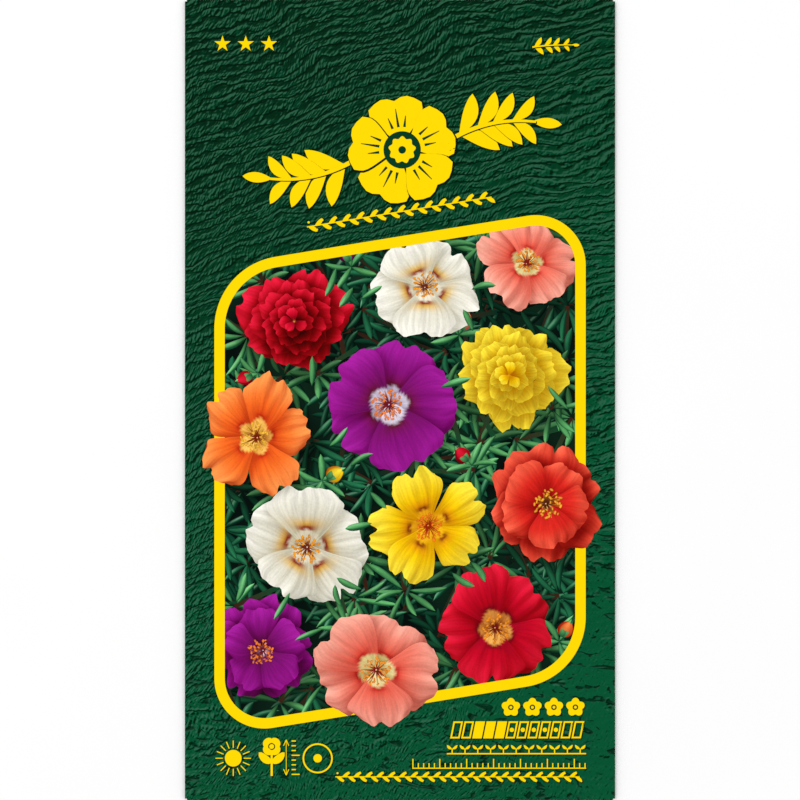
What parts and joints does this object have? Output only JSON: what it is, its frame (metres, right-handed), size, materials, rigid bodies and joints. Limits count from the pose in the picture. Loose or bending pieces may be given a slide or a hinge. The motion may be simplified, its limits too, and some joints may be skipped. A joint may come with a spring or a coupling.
{
  "type": "seed packet",
  "caption": "Flat folded paper packet with a printed front, a lapped back seam and glued end flaps, swollen by the flat sachet of seeds inside.",
  "frame": {"origin": "middle of the packet's footprint, on the surface that it lies on", "axes": "+X across the packet to the right of its front, +Y up its front, +Z out of its front"},
  "size_m": [0.08, 0.149, 0.0033],
  "materials": {
    "printed_paper": "satin",
    "glue": "satin",
    "sachet_film": "satin",
    "seed": "satin"
  },
  "bodies": {
    "root": {"packet_paper": "printed_paper", "seam_glue": "glue", "top_flap_glue": "glue", "bottom_flap_glue": "glue", "sachet_back": "sachet_film", "sachet_front": "sachet_film", "seeds": "seed"}
  },
  "joints": []
}
